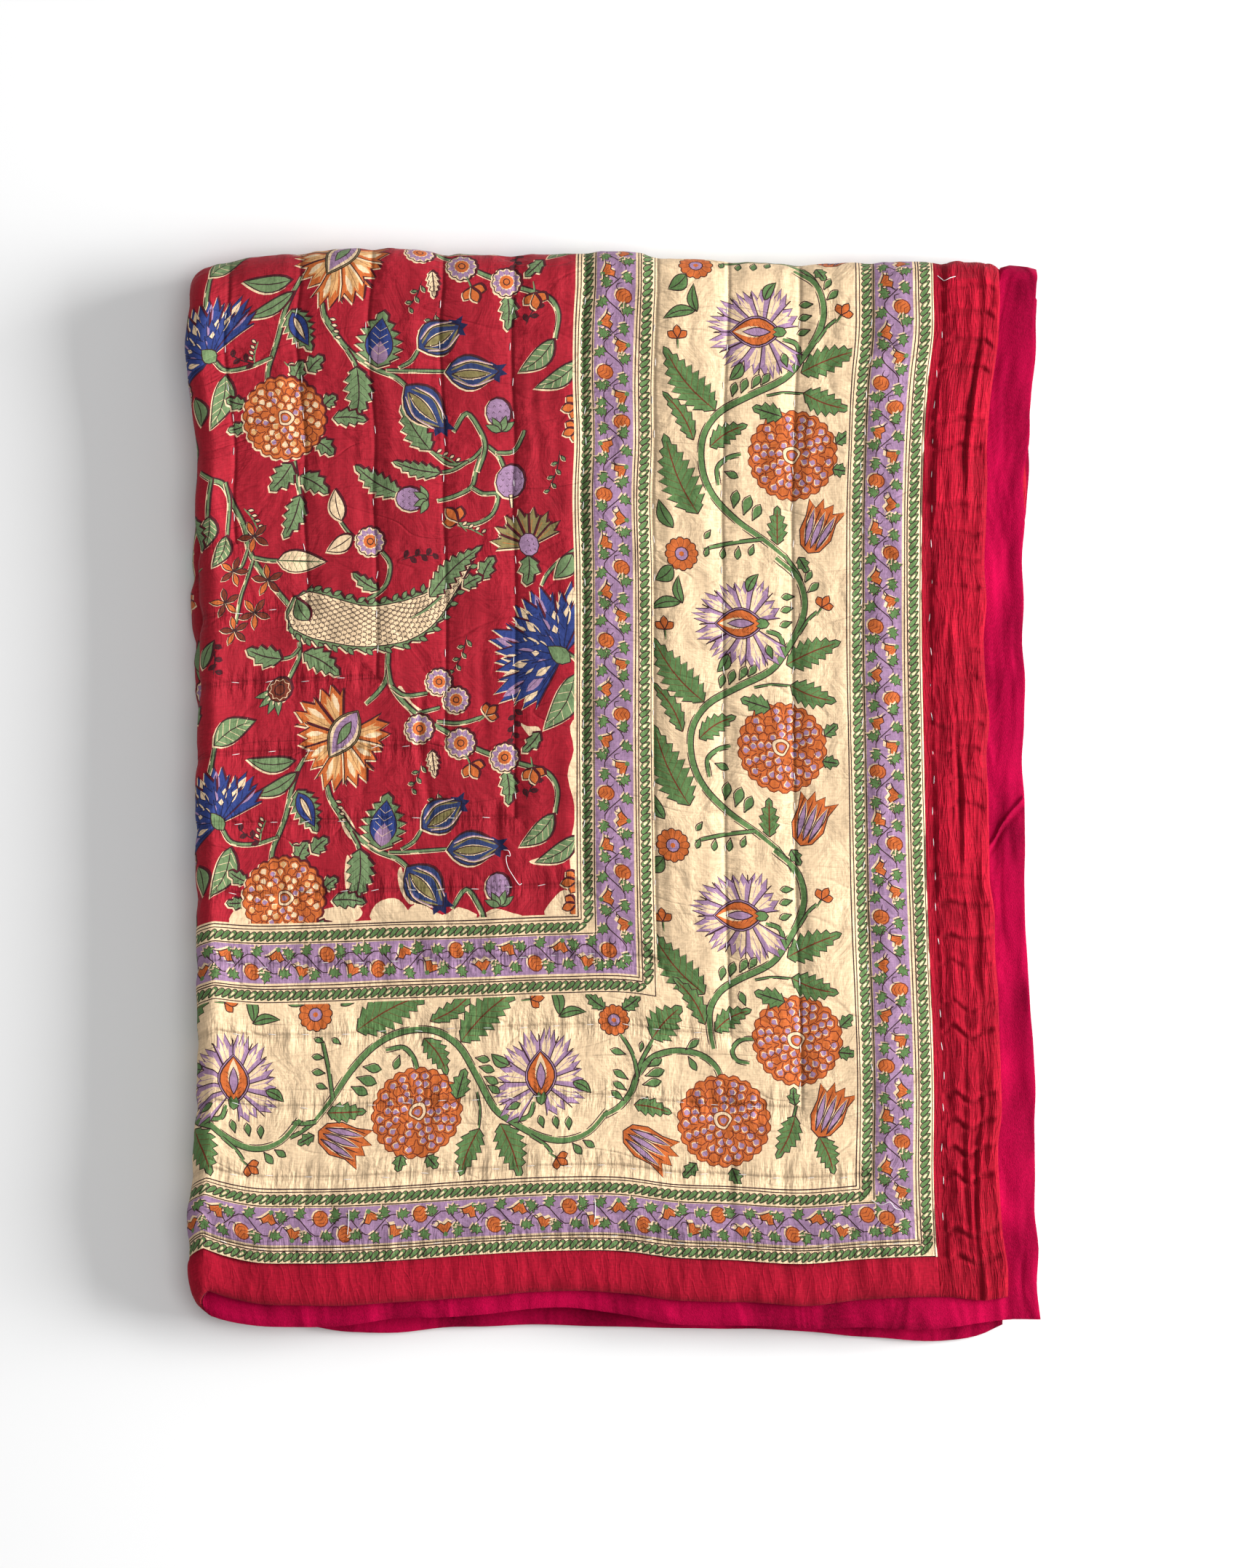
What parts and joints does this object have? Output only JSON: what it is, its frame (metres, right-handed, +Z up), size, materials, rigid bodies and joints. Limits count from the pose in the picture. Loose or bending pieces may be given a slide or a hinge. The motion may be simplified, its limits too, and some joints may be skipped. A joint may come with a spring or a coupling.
{
  "type": "folded quilt",
  "caption": "Block printed cotton quilt with a velvet back, sewn in rows and folded in quarters, lying flat.",
  "frame": {"origin": "middle of the folded quilt's outline in plan, on the surface it lies on", "axes": "+Z up; +Y along the length, from the open ends to the end fold; +X from the side fold to the open sides"},
  "size_m": [0.6734, 0.8594, 0.0641],
  "materials": {
    "printed_cotton": "soft matt printed cotton",
    "red_cotton": "matt plain cotton, lightly crinkled",
    "crimson_velvet": "short pile velvet with a soft sheen"
  },
  "bodies": {
    "root": {"quilted_top": "printed_cotton", "side_band_first": "red_cotton", "side_band_second": "red_cotton", "end_band_first": "red_cotton", "end_band_second": "red_cotton", "velvet_backing": "crimson_velvet"}
  },
  "joints": []
}
